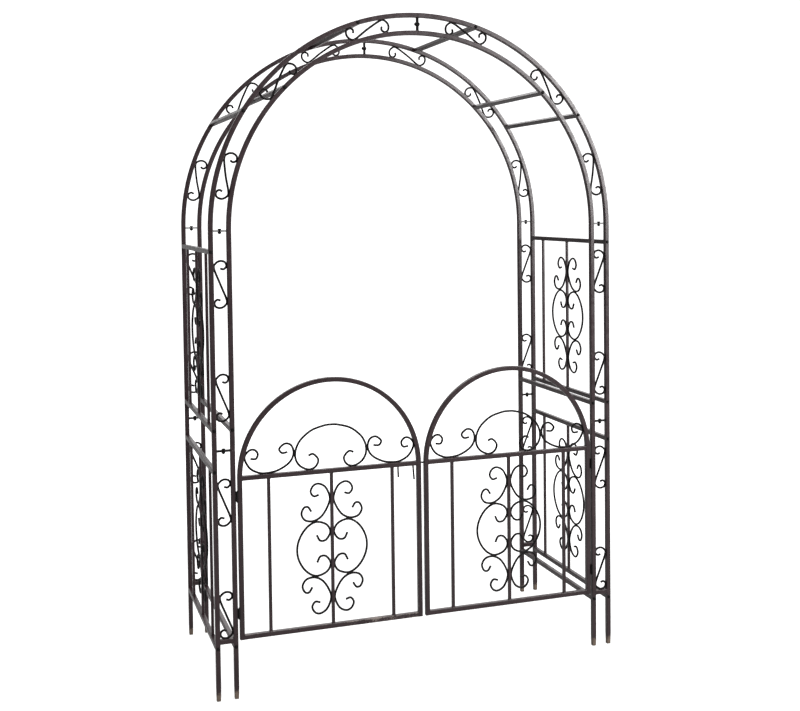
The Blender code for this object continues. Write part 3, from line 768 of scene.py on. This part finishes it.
def dress_cad_nodes():
    """Carried-over solids get rounded edges and a detailed finish."""
    for name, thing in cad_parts.items():
        fastener = "joint_bolt" in name
        if not fastener and "_hinge_" not in name:
            continue
        thing.data.materials.clear()
        thing.data.materials.append(ZINC if fastener else HINGE)
        merge = thing.modifiers.new("merge", "WELD")
        merge.merge_threshold = MERGE
        bevel = thing.modifiers.new("soft_edges", "BEVEL")
        bevel.width = BOLT_BEVEL if fastener else HINGE_BEVEL
        bevel.segments = 2
        bevel.limit_method = "ANGLE"
        bevel.angle_limit = SHARP


build_arch()
build_links()
build_gates()
dress_cad_nodes()

# ---------------------------------------------------------------- floor, light and camera


def stage_floor():
    """Pale paper that fades to the white of the room around the arch."""
    mesh = bpy.data.meshes.new("studio_floor")
    corners = [(x * FLOOR_REACH, y * FLOOR_REACH, 0) for x, y in ((-1, -1), (1, -1), (1, 1), (-1, 1))]
    mesh.from_pydata(corners, [], [(0, 1, 2, 3)])
    floor = bpy.data.objects.new("studio_floor", mesh)
    bpy.context.scene.collection.objects.link(floor)
    paper = Paint("studio_paper")
    tone = paper.mix(paper.noise(3.0, 2.0), (0.42, 0.42, 0.42, 1.0), (0.45, 0.45, 0.45, 1.0))
    paper.give("Base Color", tone)
    seen = paper.node("ShaderNodeLightPath").outputs["Is Camera Ray"]
    away = paper.node("ShaderNodeVectorMath", {0: paper.place}, operation="LENGTH").outputs["Value"]
    paper.give("Emission Color", (1.0, 1.0, 1.0, 1.0))
    paper.give("Emission Strength", paper.math("MULTIPLY", seen, paper.ramp(away, 0.9, 3.2, 0.66, 1.0)))
    paper.give("Roughness", 0.9)
    paper.give("Specular IOR Level", 0.1)
    mesh.materials.append(paper.material)


def soft_light(name, spot, target, size, power):
    data = bpy.data.lights.new(name, "AREA")
    data.shape = "RECTANGLE"
    data.size = size[0]
    data.size_y = size[1]
    data.energy = power
    light = bpy.data.objects.new(name, data)
    light.location = spot
    light.rotation_euler = (Vector(target) - Vector(spot)).to_track_quat("-Z", "Y").to_euler()
    bpy.context.scene.collection.objects.link(light)


def studio_room():
    """A room that is brighter on the right, at the back and overhead, and white to the camera."""
    world = bpy.data.worlds.new("studio")
    bpy.context.scene.world = world
    world.use_nodes = True
    room = Nodes(world.node_tree, "Generated")
    way = room.node("ShaderNodeSeparateXYZ", {0: room.place}).outputs
    right = room.ramp(way["X"], -0.35, 0.12, 0.09, 0.50)
    back = room.math("MULTIPLY", room.ramp(way["Y"], 0.3, 0.9, 0.0, 1.8), right)
    above = room.ramp(way["Z"], 0.25, 0.85, 0.0, 0.7)
    glow = room.math("ADD", room.math("ADD", right, back), above)
    seen = room.node("ShaderNodeLightPath").outputs["Is Camera Ray"]
    sky = world.node_tree.nodes["Background"]
    room.set(sky.inputs["Color"], (1.0, 1.0, 1.0, 1.0))
    room.set(sky.inputs["Strength"], room.math("MAXIMUM", glow, room.math("MULTIPLY", seen, PAPER_GLOW)))


def camera():
    data = bpy.data.cameras.new("camera")
    data.sensor_width = SENSOR
    data.lens = FOCAL * SENSOR
    data.shift_x, data.shift_y = SHIFT
    data.clip_start = 0.05
    made = bpy.data.objects.new("camera", data)
    bpy.context.scene.collection.objects.link(made)
    ahead = Vector((math.sin(CAMERA_YAW) * math.cos(CAMERA_PITCH),
                    math.cos(CAMERA_YAW) * math.cos(CAMERA_PITCH), math.sin(CAMERA_PITCH)))
    level = Vector((math.cos(CAMERA_YAW), -math.sin(CAMERA_YAW), 0.0))
    above = level.cross(ahead)
    right = level * math.cos(CAMERA_ROLL) + above * math.sin(CAMERA_ROLL)
    up = above * math.cos(CAMERA_ROLL) - level * math.sin(CAMERA_ROLL)
    turn = Matrix((right, up, -ahead)).transposed().to_4x4()
    made.matrix_world = Matrix.Translation(CAMERA_SPOT) @ turn
    bpy.context.scene.camera = made


stage_floor()
studio_room()
for light in LIGHTS:
    soft_light(*light)
camera()
bpy.context.scene.view_settings.view_transform = "Standard"
bpy.context.view_layer.update()
